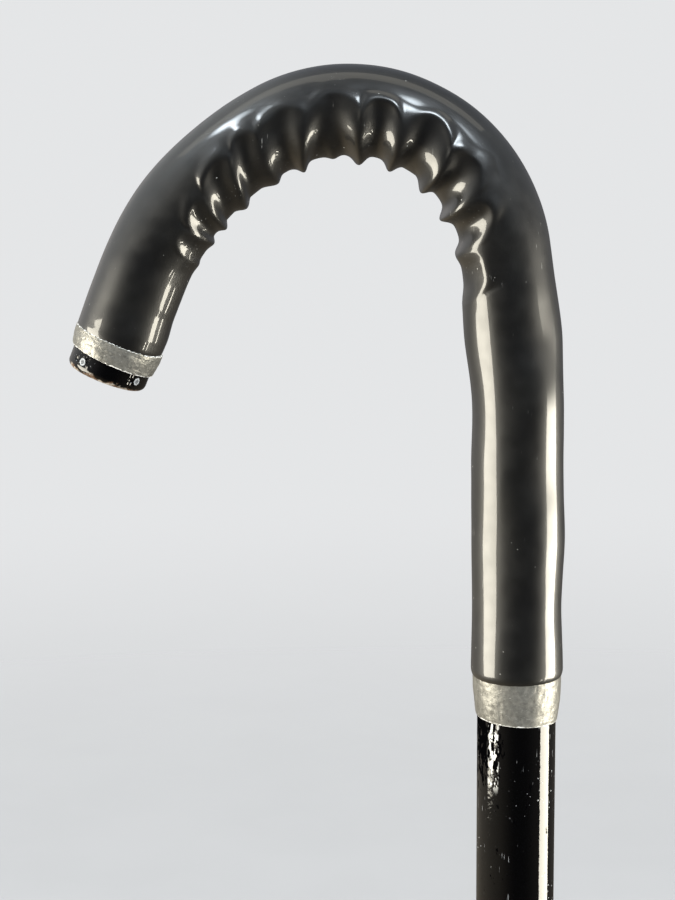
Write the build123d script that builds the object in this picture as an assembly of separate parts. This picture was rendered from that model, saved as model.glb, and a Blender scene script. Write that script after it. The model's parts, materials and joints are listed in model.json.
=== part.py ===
from build123d import *
import os
from math import cos, radians, sin, tan

# Quad walking cane: crook handle with a vinyl grip, push-button height adjustment, locking
# collar and a four-footed base that swivels under the shaft.
# Millimetres, +Z up. The origin is where the shaft axis meets the floor. The crook opens
# towards -X and the base reaches further towards -Y, away from the user's leg.
# The model rests at the middle height setting with every clamp tightened.

# Driving dimensions: overall
CANE_HEIGHT = 838.0
RUN = 0.05  # radial clearance of a sliding or turning fit
GAP = 0.1  # clearance between parts that only face each other

# Handle tube, bent into a crook made of three arcs and a straight tail
TUBE_R = 11.1
TUBE_WALL = 1.2
TUBE_BORE_R = TUBE_R - TUBE_WALL
ENTRY_BEND = (463.5, 8.26)  # centreline radius, degrees turned
TOP_BEND = (42.4, 108.67)
OUTER_BEND = (77.9, 41.17)
CROOK_RISE = 102.9  # from the start of the bends to the top of the centreline
TAIL_LENGTH = 28.8  # straight stretch after the bends
LIP_R = 2.0  # rolled rim of the free end
DIMPLE_BALL_R = 1.2
DIMPLE_DEPTH = 0.4
DIMPLE_FROM_RIM = 3.3
DIMPLE_FIRST_ANGLE = -38.7

# Grip sleeve and its two tape bands
SLEEVE_R = 12.8
SLEEVE_LENGTH_BELOW_BENDS = 54.3
SLEEVE_TAIL = 18.4
BAND_R = 11.95
LOWER_BAND_HEIGHT = 12.0
END_BAND_HEIGHT = 4.9
GRIP_BORE_R = TUBE_R + RUN

# Height adjustment
HOLE_COUNT = 7
HOLE_PITCH = 25.4
HOLE_R = 3.6
TUBE_END_TO_FIRST_HOLE = 45.0
HANDLE_TUBE_END_Z = 372.0
BUTTON_Z = HANDLE_TUBE_END_Z + TUBE_END_TO_FIRST_HOLE + HOLE_PITCH * (HOLE_COUNT - 1) / 2
BUTTON_R = 3.4
BUTTON_HOLE_R = 3.5
BUTTON_TIP_X = 13.1
BUTTON_FLANGE_R = 4.5
BUTTON_FLANGE_X = 5.8
BUTTON_FLANGE_THICK = 1.0
BUTTON_DOME_R = 1.4
SPRING_THICK = 0.6
SPRING_WIDTH = 6.0

# Shaft (the thinner tube that slides in the handle tube and turns in the base)
SHAFT_R = 9.525
SHAFT_WALL = 1.2
SHAFT_BORE_R = SHAFT_R - SHAFT_WALL
SHAFT_TOP_Z = BUTTON_Z + 30.0
BUSH_HEIGHT = 6.0
BUSH_STEM = 12.0
PLUG_FLANGE = 3.0
PLUG_STEM = 12.0
GROOVE_DEPTH = 1.5
GROOVE_HALF_WIDTH = 2.6

# Locking collar at the lower end of the handle tube
COLLAR_NOSE_R = 12.2
COLLAR_NOSE_LENGTH = 20.0
COLLAR_SKIRT_LENGTH = 24.0
COLLAR_R = 14.5
COLLAR_CONE_LENGTH = 4.0
COLLAR_CONE_MOUTH_R = 11.2
COLLAR_SLOT_WIDTH = 1.5
COLLAR_SLOT_LENGTH = 14.0
FERRULE_R = 12.0
FERRULE_BASE = 4.9
NUT_R = 15.6
NUT_LIP = 3.4
NUT_LIP_BORE_R = 9.9
NUT_TOP_Z = HANDLE_TUBE_END_Z + 5.0
NUT_RIB_COUNT = 18
NUT_FLUTE_R = 1.3

# Base: two bent leg tubes, a socket for the shaft and four rubber feet
LEG_R = 7.95
LEG_WALL = 1.2
LEG_BEND_R = 25.0
FOOT_X = 62.0
INNER_FOOT_Y = 62.0
OUTER_FOOT_Y = -113.0
LEG_KNEE_Z = 60.0
LEG_BAR_Z = 112.0
LEG_BAR_HALF = 22.0
LEG_BAR_BITE = 2.1  # depth of the notch where the leg tube hugs the socket
SOCKET_R = 12.7
LINER_R = 11.1
LINER_FLOOR = 3.0
LINER_FLANGE = 3.0
SOCKET_BOTTOM_Z = 86.0
SOCKET_TOP_Z = 152.0
PLATE_THICK = 3.0
PLATE_SIZE = (60.0, 42.0)
PLATE_CORNER_R = 12.0
SHAFT_BOTTOM_Z = SOCKET_BOTTOM_Z + LINER_FLOOR + GAP

# Rubber feet
FOOT_HEIGHT = 32.0
FOOT_SOLE_R = 14.0
FOOT_SOLE_HEIGHT = 7.0
FOOT_WAIST_R = 11.6
FOOT_TOP_R = 10.2
FOOT_BEAD_R = 10.9
FOOT_BEAD_HEIGHT = 3.0
FOOT_FLOOR = 6.0
WASHER_THICK = 1.5
TREAD_DEPTH = 1.5
TREAD_RINGS = ((4.5, 6.5), (9.0, 11.0))  # inner and outer radius of each groove

# Base clamp: thumb knob, screw, pad and the nut welded on the socket
CLAMP_Z = 137.0
CLAMP_HOLE_R = 3.2
SCREW_R = 2.9
WELD_NUT_BORE_R = 3.0
WELD_NUT_FLAT_R = 5.0
WELD_NUT_FACE_Y = -18.2
PAD_R = 2.3
PAD_TIP_Y = -(SHAFT_R - GROOVE_DEPTH + 0.075)
PAD_LENGTH = 3.0
KNOB_FACE_Y = -19.6
KNOB_THICK = 12.0
KNOB_R = 11.5
KNOB_LOBES = 6
KNOB_SCALLOP_R = 3.6
KNOB_SCREW_DEPTH = 9.0


def turned(points, origin=(0, 0, 0), axis=(0, 0, 1)):
    """Solid of revolution from (radius, height) points, standing on origin along axis."""
    outline = make_face(Polyline(*points, close=True))
    solid = revolve(Plane.XZ * outline, axis=Axis.Z)
    return Plane(origin=origin, z_dir=axis) * solid


def rod(radius, start, direction, length):
    """Cylinder of a given length from a start point along a direction."""
    return extrude(Plane(origin=start, z_dir=direction) * Circle(radius), length)


def crook_path(bottom_z, tail):
    """Centreline of the handle from a height on the straight up round to the tail."""
    bend_z = CANE_HEIGHT - SLEEVE_R - CROOK_RISE
    edges = [Line((0, bottom_z), (0, bend_z))]
    for radius, angle in (ENTRY_BEND, TOP_BEND, OUTER_BEND):
        last = edges[-1]
        edges.append(JernArc(start=last @ 1, tangent=last % 1, radius=radius, arc_size=angle))
    last = edges[-1]
    edges.append(Line(last @ 1, last @ 1 + (last % 1) * tail))
    return Wire([Plane.XZ * edge for edge in edges])


def swept_tube(path, outer_r, inner_r):
    """Round tube along a path."""
    start = Plane(origin=path @ 0, z_dir=path % 0)
    return sweep(start * (Circle(outer_r) - Circle(inner_r)), path=path)


def tail_plane(distance):
    """Plane across the straight tail, a distance past the last bend."""
    path = crook_path(HANDLE_TUBE_END_Z, distance)
    return Plane(origin=path @ 1, x_dir=(0, -1, 0), z_dir=path % 1)


def rolled_lip():
    """Last stretch of the free end, where the wall curls inwards to a round rim."""
    inner_curl = LIP_R - TUBE_WALL
    mouth_r = TUBE_R - LIP_R
    outline = make_face(
        [
            Line((TUBE_R, 0), (TUBE_BORE_R, 0)),
            RadiusArc((TUBE_BORE_R, 0), (mouth_r, inner_curl), -inner_curl),
            Line((mouth_r, inner_curl), (mouth_r, LIP_R)),
            RadiusArc((mouth_r, LIP_R), (TUBE_R, 0), LIP_R),
        ]
    )
    return tail_plane(TAIL_LENGTH - LIP_R) * revolve(Plane.XZ * outline, axis=Axis.Z)


def handle_tube():
    """Bent tube with the row of height holes and four stake dimples round the free end."""
    tube = swept_tube(crook_path(HANDLE_TUBE_END_Z, TAIL_LENGTH - LIP_R), TUBE_R, TUBE_BORE_R)
    tube += rolled_lip()
    first_hole_z = HANDLE_TUBE_END_Z + TUBE_END_TO_FIRST_HOLE
    for index in range(HOLE_COUNT):
        tube -= rod(HOLE_R, (0, 0, first_hole_z + index * HOLE_PITCH), (1, 0, 0), 2 * TUBE_R)
    ring = tail_plane(TAIL_LENGTH - DIMPLE_FROM_RIM)
    ball_centre_r = TUBE_R + DIMPLE_BALL_R - DIMPLE_DEPTH
    for index in range(4):
        angle = radians(DIMPLE_FIRST_ANGLE + 90 * index)
        centre = (ball_centre_r * cos(angle), ball_centre_r * sin(angle), 0)
        tube -= ring * Pos(*centre) * Sphere(DIMPLE_BALL_R)
    return tube


def grip_sleeve():
    """Soft vinyl sleeve from below the bends almost to the free end."""
    bottom_z = CANE_HEIGHT - SLEEVE_R - CROOK_RISE - SLEEVE_LENGTH_BELOW_BENDS
    return swept_tube(crook_path(bottom_z, SLEEVE_TAIL), SLEEVE_R, GRIP_BORE_R)


def grip_band(origin, axis, height):
    """Tape band wrapped round the tube, leaving a small gap at each end."""
    band = Plane(origin=origin, z_dir=axis) * (Circle(BAND_R) - Circle(GRIP_BORE_R))
    return extrude(band, height - GAP)


def grip_band_lower():
    """Band under the lower end of the sleeve."""
    top_z = CANE_HEIGHT - SLEEVE_R - CROOK_RISE - SLEEVE_LENGTH_BELOW_BENDS - GAP
    return grip_band((0, 0, top_z), (0, 0, -1), LOWER_BAND_HEIGHT)


def grip_band_end():
    """Band between the sleeve and the bare free end."""
    plane = tail_plane(SLEEVE_TAIL + GAP)
    return grip_band(plane.origin, plane.z_dir, END_BAND_HEIGHT)


def end_plug():
    """Plastic plug inside the free end, its nose filling the rolled rim."""
    mouth_r = TUBE_R - LIP_R
    stem_r = TUBE_BORE_R - RUN
    shoulder = TAIL_LENGTH - LIP_R
    points = [(0, -9), (stem_r, -9), (stem_r, 0), (mouth_r - RUN, 0), (mouth_r - RUN, 1.6), (0, 1.6)]
    plug = turned(points)
    plug = chamfer(plug.edges().group_by(Axis.Z)[0], 0.8)
    return tail_plane(shoulder) * plug


def collar_body():
    """Threaded collar fixed over the handle tube's end, with a split conical nose."""
    end_z = HANDLE_TUBE_END_Z
    bore_r = SHAFT_R + RUN
    nose_z = end_z - COLLAR_NOSE_LENGTH
    shoulder_z = NUT_TOP_Z + 1.0
    top_z = end_z + COLLAR_SKIRT_LENGTH
    body = turned(
        [
            (COLLAR_CONE_MOUTH_R, nose_z),
            (COLLAR_NOSE_R, nose_z),
            (COLLAR_NOSE_R, shoulder_z),
            (COLLAR_R - 0.8, shoulder_z),
            (COLLAR_R, shoulder_z + 0.8),
            (COLLAR_R, top_z - 3.0),
            (COLLAR_R - 2.2, top_z),
            (TUBE_R, top_z),
            (TUBE_R, end_z),
            (bore_r, end_z),
            (bore_r, nose_z + COLLAR_CONE_LENGTH),
        ]
    )
    slot = Box(2 * COLLAR_R, COLLAR_SLOT_WIDTH, COLLAR_SLOT_LENGTH)
    slot_z = nose_z + COLLAR_SLOT_LENGTH / 2
    for angle in (0, 90):
        body -= Pos(0, 0, slot_z) * Rot(0, 0, angle) * slot
    return body


def collar_ferrule():
    """Split tapered ring that the nut drives into the collar's cone to grip the shaft."""
    bore_r = SHAFT_R + RUN
    top_z = HANDLE_TUBE_END_Z - COLLAR_NOSE_LENGTH - GAP
    bottom_z = top_z - FERRULE_BASE
    slope = (COLLAR_CONE_MOUTH_R - bore_r) / COLLAR_CONE_LENGTH
    tip_rise = COLLAR_CONE_LENGTH - 0.6
    root_r = COLLAR_CONE_MOUTH_R - 2 * GAP
    ring = turned(
        [
            (bore_r, bottom_z),
            (FERRULE_R, bottom_z),
            (FERRULE_R, top_z),
            (root_r, top_z),
            (root_r - slope * tip_rise, top_z + tip_rise),
            (bore_r, top_z + tip_rise),
        ]
    )
    split = Box(FERRULE_R, 1.6, 2 * FERRULE_BASE + 2 * tip_rise)
    return ring - Pos(-FERRULE_R, 0, top_z) * split


def collar_nut():
    """Fluted nut over the collar's nose, its bottom lip pushing the ferrule up."""
    lip_top_z = HANDLE_TUBE_END_Z - COLLAR_NOSE_LENGTH - FERRULE_BASE - 2 * GAP
    bottom_z = lip_top_z - NUT_LIP
    bore_r = COLLAR_NOSE_R + GAP
    nut = turned(
        [
            (NUT_LIP_BORE_R, bottom_z),
            (NUT_R - 2.0, bottom_z),
            (NUT_R, bottom_z + 3.0),
            (NUT_R, NUT_TOP_Z - 1.0),
            (NUT_R - 1.0, NUT_TOP_Z),
            (bore_r, NUT_TOP_Z),
            (bore_r, lip_top_z),
            (NUT_LIP_BORE_R, lip_top_z),
        ]
    )
    flute_length = NUT_TOP_Z - bottom_z - 9.0
    for index in range(NUT_RIB_COUNT):
        angle = radians(360 * index / NUT_RIB_COUNT)
        foot = ((NUT_R + 0.5) * cos(angle), (NUT_R + 0.5) * sin(angle), bottom_z + 5.0)
        nut -= rod(NUT_FLUTE_R, foot, (0, 0, 1), flute_length)
    return nut


def lower_tube():
    """Shaft tube with the button hole and a rolled groove for the base clamp."""
    bottom_z = SHAFT_BOTTOM_Z + PLUG_FLANGE
    ramp = GROOVE_HALF_WIDTH + GROOVE_DEPTH
    groove = [(ramp, 0), (GROOVE_HALF_WIDTH, GROOVE_DEPTH)]
    groove += [(-height, depth) for height, depth in reversed(groove)]
    outer = [(SHAFT_R - depth, CLAMP_Z - height) for height, depth in groove]
    inner = [(SHAFT_BORE_R - depth, CLAMP_Z - height) for height, depth in reversed(groove)]
    points = [(SHAFT_BORE_R, bottom_z), (SHAFT_R, bottom_z), *outer]
    points += [(SHAFT_R, SHAFT_TOP_Z), (SHAFT_BORE_R, SHAFT_TOP_Z), *inner]
    tube = turned(points)
    return tube - rod(BUTTON_HOLE_R, (0, 0, BUTTON_Z), (1, 0, 0), 2 * SHAFT_R)


def shaft_top_bush():
    """Plastic bush in the shaft's top end that steadies it inside the handle tube."""
    guide_r = TUBE_BORE_R - RUN
    stem_r = SHAFT_BORE_R
    points = [
        (stem_r - 1.6, SHAFT_TOP_Z - BUSH_STEM),
        (stem_r, SHAFT_TOP_Z - BUSH_STEM),
        (stem_r, SHAFT_TOP_Z),
        (guide_r, SHAFT_TOP_Z),
        (guide_r, SHAFT_TOP_Z + BUSH_HEIGHT - 1.0),
        (guide_r - 1.0, SHAFT_TOP_Z + BUSH_HEIGHT),
        (stem_r - 1.6, SHAFT_TOP_Z + BUSH_HEIGHT),
    ]
    return turned(points)


def shaft_end_plug():
    """Plastic plug the shaft stands on inside the base socket."""
    flange_top = SHAFT_BOTTOM_Z + PLUG_FLANGE
    points = [
        (0, SHAFT_BOTTOM_Z),
        (SHAFT_R - 0.8, SHAFT_BOTTOM_Z),
        (SHAFT_R, SHAFT_BOTTOM_Z + 0.8),
        (SHAFT_R, flange_top),
        (SHAFT_BORE_R, flange_top),
        (SHAFT_BORE_R, flange_top + PLUG_STEM - 1.0),
        (SHAFT_BORE_R - 1.0, flange_top + PLUG_STEM),
        (0, flange_top + PLUG_STEM),
    ]
    return turned(points)


def height_button():
    """Domed push button with a flange that stops it inside the shaft tube."""
    flange = rod(BUTTON_FLANGE_R, (BUTTON_FLANGE_X, 0, BUTTON_Z), (1, 0, 0), BUTTON_FLANGE_THICK)
    start_x = BUTTON_FLANGE_X + BUTTON_FLANGE_THICK
    stem = rod(BUTTON_R, (start_x, 0, BUTTON_Z), (1, 0, 0), BUTTON_TIP_X - start_x)
    return flange + fillet(stem.edges().group_by(Axis.X)[-1], BUTTON_DOME_R)


def button_spring():
    """Folded strip spring between the button and the far wall of the shaft tube."""
    contact_x = BUTTON_FLANGE_X - SPRING_THICK / 2
    wall_x = -7.35
    fold_z = BUTTON_Z - 32.0
    top_z = BUTTON_Z + 6.0
    strip = [
        Line((wall_x, top_z), (-3.0, fold_z)),
        Line((1.6, fold_z), (contact_x, BUTTON_Z - 7.0)),
        Line((contact_x, BUTTON_Z - 7.0), (contact_x, top_z)),
    ]
    fold = ThreePointArc((-3.0, fold_z), (-0.7, fold_z - 2.3), (1.6, fold_z))
    outline = Sketch() + [trace(edge, SPRING_THICK) for edge in (*strip, fold)]
    return extrude(Plane.XZ * outline, SPRING_WIDTH / 2, both=True)


def bent_path(points, radius):
    """Polyline in space with every inner corner rounded to one bend radius."""
    corners = [Vector(*point) for point in points]
    edges = []
    start = corners[0]
    for before, corner, after in zip(corners, corners[1:], corners[2:]):
        inwards = (before - corner).normalized()
        outwards = (after - corner).normalized()
        half_turn = radians(180 - inwards.get_angle(outwards)) / 2
        reach = radius * tan(half_turn)
        middle = corner + (inwards + outwards).normalized() * (radius / cos(half_turn) - radius)
        edges.append(Line(start, corner + inwards * reach))
        start = corner + outwards * reach
        edges.append(ThreePointArc(corner + inwards * reach, middle, start))
    edges.append(Line(start, corners[-1]))
    return Wire(edges)


def leg_tube(side):
    """Leg tube from an inner foot over the hub to an outer foot; side is +1 or -1 in X."""
    bar_x = side * (SOCKET_R + LEG_R - LEG_BAR_BITE)
    foot_x = side * FOOT_X
    foot_z = FOOT_FLOOR + WASHER_THICK
    path = bent_path(
        [
            (foot_x, INNER_FOOT_Y, foot_z),
            (foot_x, INNER_FOOT_Y, LEG_KNEE_Z),
            (bar_x, LEG_BAR_HALF, LEG_BAR_Z),
            (bar_x, -LEG_BAR_HALF, LEG_BAR_Z),
            (foot_x, OUTER_FOOT_Y, LEG_KNEE_Z),
            (foot_x, OUTER_FOOT_Y, foot_z),
        ],
        LEG_BEND_R,
    )
    tube = swept_tube(path, LEG_R, LEG_R - LEG_WALL)
    notch = rod(SOCKET_R, (0, 0, LEG_BAR_Z - 2 * LEG_R), (0, 0, 1), 4 * LEG_R)
    return tube - notch


def clamp_hole():
    """Radial hole through the socket and its liner for the clamp pad."""
    return rod(CLAMP_HOLE_R, (0, 0, CLAMP_Z), (0, -1, 0), 2 * SOCKET_R)


def base_socket():
    """Upright tube of the base that receives the shaft."""
    height = SOCKET_TOP_Z - SOCKET_BOTTOM_Z
    tube = extrude(Pos(0, 0, SOCKET_BOTTOM_Z) * (Circle(SOCKET_R) - Circle(LINER_R)), height)
    return tube - clamp_hole()


def socket_liner():
    """Plastic cup inside the socket in which the shaft turns."""
    bore_r = SHAFT_R + RUN
    flange_z = SOCKET_TOP_Z + LINER_FLANGE
    points = [
        (0, SOCKET_BOTTOM_Z),
        (LINER_R, SOCKET_BOTTOM_Z),
        (LINER_R, SOCKET_TOP_Z),
        (SOCKET_R, SOCKET_TOP_Z),
        (SOCKET_R, flange_z - 1.0),
        (SOCKET_R - 1.0, flange_z),
        (bore_r, flange_z),
        (bore_r, SOCKET_BOTTOM_Z + LINER_FLOOR),
        (0, SOCKET_BOTTOM_Z + LINER_FLOOR),
    ]
    return turned(points) - clamp_hole()


def base_plate():
    """Gusset plate welded across the top of both leg tubes."""
    outline = RectangleRounded(*PLATE_SIZE, PLATE_CORNER_R) - Circle(SOCKET_R)
    return extrude(Pos(0, 0, LEG_BAR_Z + LEG_R) * outline, PLATE_THICK)


def foot_centres():
    """Foot name and plan position of the four feet."""
    for side, end in ((1, "front"), (-1, "rear")):
        for foot_y, reach in ((INNER_FOOT_Y, "inner"), (OUTER_FOOT_Y, "outer")):
            yield f"{end}_{reach}", (side * FOOT_X, foot_y)


def foot_tip(centre):
    """Rubber foot with a flared sole, a beaded top and ring treads underneath."""
    foot = turned(
        [
            (0, 0),
            (FOOT_SOLE_R - 1.0, 0),
            (FOOT_SOLE_R, 1.0),
            (FOOT_SOLE_R, FOOT_SOLE_HEIGHT),
            (FOOT_WAIST_R, FOOT_SOLE_HEIGHT + 3.0),
            (FOOT_TOP_R, FOOT_HEIGHT - FOOT_BEAD_HEIGHT),
            (FOOT_BEAD_R, FOOT_HEIGHT - FOOT_BEAD_HEIGHT + 0.8),
            (FOOT_BEAD_R, FOOT_HEIGHT - 0.8),
            (FOOT_TOP_R, FOOT_HEIGHT),
            (LEG_R, FOOT_HEIGHT),
            (LEG_R, FOOT_FLOOR),
            (0, FOOT_FLOOR),
        ]
    )
    for inner_r, outer_r in TREAD_RINGS:
        foot -= extrude(Circle(outer_r) - Circle(inner_r), TREAD_DEPTH)
    return Pos(*centre, 0) * foot


def foot_washers():
    """Steel washers between the leg ends and the rubber, one in each foot."""
    washer = extrude(Circle(LEG_R - RUN) - Circle(LEG_R / 3), WASHER_THICK)
    return Compound([Pos(*centre, FOOT_FLOOR) * washer for _, centre in foot_centres()])


def weld_nut():
    """Hexagon nut welded on the socket, its back coped to the round."""
    hexagon = RegularPolygon(WELD_NUT_FLAT_R, 6, major_radius=False) - Circle(WELD_NUT_BORE_R)
    face = Plane(origin=(0, WELD_NUT_FACE_Y, CLAMP_Z), z_dir=(0, 1, 0)) * hexagon
    nut = extrude(face, -WELD_NUT_FACE_Y - SHAFT_R)
    return nut - rod(SOCKET_R, (0, 0, SOCKET_BOTTOM_Z), (0, 0, 1), SOCKET_TOP_Z)


def clamp_pad():
    """Round pad on the screw's tip that drops into the shaft's groove."""
    return rod(PAD_R, (0, PAD_TIP_Y - PAD_LENGTH, CLAMP_Z), (0, 1, 0), PAD_LENGTH)


def clamp_screw():
    """Screw moulded into the knob; its thread is a plain cylinder."""
    tip_y = PAD_TIP_Y - PAD_LENGTH - RUN
    length = tip_y - KNOB_FACE_Y + KNOB_SCREW_DEPTH
    return rod(SCREW_R, (0, tip_y, CLAMP_Z), (0, -1, 0), length)


def clamp_knob():
    """Scalloped thumb knob with a blind bore for the screw."""
    disc = extrude(Circle(KNOB_R), KNOB_THICK)
    disc = fillet(disc.edges().group_by(Axis.Z)[-1], 2.0)
    for index in range(KNOB_LOBES):
        angle = radians(360 * (index + 0.5) / KNOB_LOBES)
        centre = ((KNOB_R + 1.8) * cos(angle), (KNOB_R + 1.8) * sin(angle), 0)
        disc -= rod(KNOB_SCALLOP_R, centre, (0, 0, 1), KNOB_THICK)
    disc -= rod(SCREW_R, (0, 0, 0), (0, 0, 1), KNOB_SCREW_DEPTH)
    return Plane(origin=(0, KNOB_FACE_Y, CLAMP_Z), z_dir=(0, -1, 0)) * disc


def all_parts():
    """Every sub-part by node name."""
    parts = {
        "handle_tube": handle_tube(),
        "grip_sleeve": grip_sleeve(),
        "grip_band_lower": grip_band_lower(),
        "grip_band_end": grip_band_end(),
        "end_plug": end_plug(),
        "collar_body": collar_body(),
        "collar_ferrule": collar_ferrule(),
        "collar_nut": collar_nut(),
        "lower_tube": lower_tube(),
        "shaft_top_bush": shaft_top_bush(),
        "shaft_end_plug": shaft_end_plug(),
        "height_button": height_button(),
        "button_spring": button_spring(),
        "leg_tube_front": leg_tube(1),
        "leg_tube_rear": leg_tube(-1),
        "base_socket": base_socket(),
        "socket_liner": socket_liner(),
        "base_plate": base_plate(),
        "weld_nut": weld_nut(),
        "clamp_pad": clamp_pad(),
        "clamp_screw": clamp_screw(),
        "clamp_knob": clamp_knob(),
        "foot_washers": foot_washers(),
    }
    for name, centre in foot_centres():
        parts[f"foot_tip_{name}"] = foot_tip(centre)
    return parts


os.makedirs("parts", exist_ok=True)
for node, shape in all_parts().items():
    export_step(shape, f"parts/{node}.step")
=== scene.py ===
import json
import math

import bpy
import numpy as np
from mathutils import Euler, Matrix, Vector

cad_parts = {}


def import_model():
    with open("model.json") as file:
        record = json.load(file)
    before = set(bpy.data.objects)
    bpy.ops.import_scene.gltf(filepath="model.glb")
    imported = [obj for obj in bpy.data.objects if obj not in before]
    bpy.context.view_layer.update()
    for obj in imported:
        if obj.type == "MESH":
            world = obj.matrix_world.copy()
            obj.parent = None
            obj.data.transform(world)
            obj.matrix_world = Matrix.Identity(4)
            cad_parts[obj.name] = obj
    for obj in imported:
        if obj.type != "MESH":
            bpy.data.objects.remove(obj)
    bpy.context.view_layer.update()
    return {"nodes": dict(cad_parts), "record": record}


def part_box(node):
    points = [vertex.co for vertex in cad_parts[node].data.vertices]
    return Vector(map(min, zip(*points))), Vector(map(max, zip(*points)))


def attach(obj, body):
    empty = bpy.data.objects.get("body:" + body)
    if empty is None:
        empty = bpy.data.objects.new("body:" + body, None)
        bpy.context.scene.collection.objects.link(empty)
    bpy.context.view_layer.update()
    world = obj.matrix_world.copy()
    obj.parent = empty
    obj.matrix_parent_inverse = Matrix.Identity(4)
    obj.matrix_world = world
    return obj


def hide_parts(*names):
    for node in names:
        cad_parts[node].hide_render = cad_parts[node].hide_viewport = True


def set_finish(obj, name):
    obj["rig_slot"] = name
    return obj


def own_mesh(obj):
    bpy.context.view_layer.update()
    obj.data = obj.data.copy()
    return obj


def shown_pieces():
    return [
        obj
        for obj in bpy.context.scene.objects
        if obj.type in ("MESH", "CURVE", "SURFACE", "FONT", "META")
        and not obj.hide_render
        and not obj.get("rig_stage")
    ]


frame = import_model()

# Walking cane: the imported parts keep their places; the soft grip, its tape bands and the
# button spring are built here. Metres, +Z up, the crook opens towards -X, the front is -Y.

MM = 0.001
TAU = 2 * math.pi

# Driving dimensions of the crook, the same as the frame's
TUBE_R = 11.1 * MM
SLEEVE_R = 12.8 * MM
GRIP_BORE_R = 11.15 * MM
ENTRY_BEND = (463.5 * MM, math.radians(8.26))  # centreline radius, angle turned
TOP_BEND = (42.4 * MM, math.radians(108.67))
OUTER_BEND = (77.9 * MM, math.radians(41.17))
CROOK_RISE = 102.9 * MM  # from the start of the bends to the centreline's top
SLEEVE_TAIL = 18.4 * MM
TAIL_LENGTH = 28.8 * MM
DIMPLE_FROM_RIM = 3.3 * MM
DIMPLE_FIRST_ANGLE = math.radians(-38.7)
END_BAND_HEIGHT = 4.9 * MM
LOWER_BAND_HEIGHT = 12.0 * MM
FRONT = np.array([0.0, -1.0, 0.0])  # unit vector

ENTRY_LENGTH, TOP_LENGTH, OUTER_LENGTH = (r * a for r, a in (ENTRY_BEND, TOP_BEND, OUTER_BEND))
BEND_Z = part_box("grip_sleeve")[1].z - SLEEVE_R - CROOK_RISE
SLEEVE_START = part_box("grip_sleeve")[0].z - BEND_Z - ENTRY_LENGTH  # arc length, 0 at the top bend
SLEEVE_END = TOP_LENGTH + OUTER_LENGTH + SLEEVE_TAIL
TIP_END = TOP_LENGTH + OUTER_LENGTH + TAIL_LENGTH


# ---------------------------------------------------------------- crook centreline


def crook_frames(s):
    """Centreline points, tangents and inward normals at arc lengths s (0 where the top bend
    starts, negative below it)."""
    s = np.atleast_1d(np.asarray(s, float))
    points = np.zeros((len(s), 3))
    heading = np.zeros(len(s))
    at = -ENTRY_LENGTH
    x, z, turn = 0.0, BEND_Z, math.pi / 2
    below = s < at
    points[below, 2] = z + (s[below] - at)
    heading[below] = turn
    for radius, angle in (ENTRY_BEND, TOP_BEND, OUTER_BEND):
        on = (s >= at) & (s <= at + radius * angle + 1e-9)
        h = turn + (s[on] - at) / radius
        points[on, 0] = x + radius * (np.sin(h) - math.sin(turn))
        points[on, 2] = z - radius * (np.cos(h) - math.cos(turn))
        heading[on] = h
        x += radius * (math.sin(turn + angle) - math.sin(turn))
        z -= radius * (math.cos(turn + angle) - math.cos(turn))
        turn += angle
        at += radius * angle
    after = s > at
    points[after, 0] = x + (s[after] - at) * math.cos(turn)
    points[after, 2] = z + (s[after] - at) * math.sin(turn)
    heading[after] = turn
    zero = np.zeros(len(s))
    tangent = np.stack([np.cos(heading), zero, np.sin(heading)], 1)
    inward = np.stack([-np.sin(heading), zero, np.cos(heading)], 1)
    return points, tangent, inward


def around(s, phi, radius, shift=0.0):
    """Points at arc length s, angle phi from the inner side towards the front, and a radius;
    shift moves them along the tangent. All four broadcast to one grid (rows s, columns phi)."""
    points, tangent, inward = (a[:, None, :] for a in crook_frames(s))
    phi = np.asarray(phi)[None, :, None]
    radius = np.broadcast_to(radius, (points.shape[0], phi.shape[1]))[..., None]
    shift = np.broadcast_to(shift, radius.shape[:2])[..., None]
    return points + radius * (np.cos(phi) * inward + np.sin(phi) * FRONT) + shift * tangent


# ---------------------------------------------------------------- mesh helpers


def waves(angle, harmonics, seed):
    """Smooth periodic waviness of unit size made of the given harmonics."""
    random = np.random.RandomState(seed)
    total = np.zeros_like(angle)
    for harmonic in harmonics:
        total += random.uniform(0.5, 1.0) * np.sin(harmonic * angle + random.uniform(0, TAU))
    return total / math.sqrt(len(harmonics))


def smooth_noise(rows, columns, cells, seed):
    """Value noise on a grid that wraps round its columns, roughly -1 to 1."""
    random = np.random.RandomState(seed)
    knots = random.uniform(-1, 1, (cells[0] + 3, cells[1]))
    u = np.linspace(0, cells[0], rows)[:, None]
    v = np.linspace(0, cells[1], columns, endpoint=False)[None, :]
    iu, iv = np.floor(u).astype(int), np.floor(v).astype(int)
    fu, fv = (f * f * (3 - 2 * f) for f in (u - iu, v - iv))

    def corner(down, across):
        return knots[iu + down, (iv + across) % cells[1]]

    low = corner(0, 0) * (1 - fv) + corner(0, 1) * fv
    high = corner(1, 0) * (1 - fv) + corner(1, 1) * fv
    return low * (1 - fu) + high * fu


def blur(field, rows, columns):
    """Gaussian blur by standard deviations in grid cells; columns wrap round."""
    for axis, sigma in ((0, rows), (1, columns)):
        reach = int(math.ceil(3 * sigma))
        kernel = np.exp(-0.5 * (np.arange(-reach, reach + 1) / sigma) ** 2)
        kernel /= kernel.sum()
        mode = "edge" if axis == 0 else "wrap"
        pad = [(reach, reach), (0, 0)] if axis == 0 else [(0, 0), (reach, reach)]
        padded = np.pad(field, pad, mode=mode)
        size = field.shape[axis]
        parts = [w * padded.take(range(i, i + size), axis) for i, w in enumerate(kernel)]
        field = sum(parts)
    return field


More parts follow.
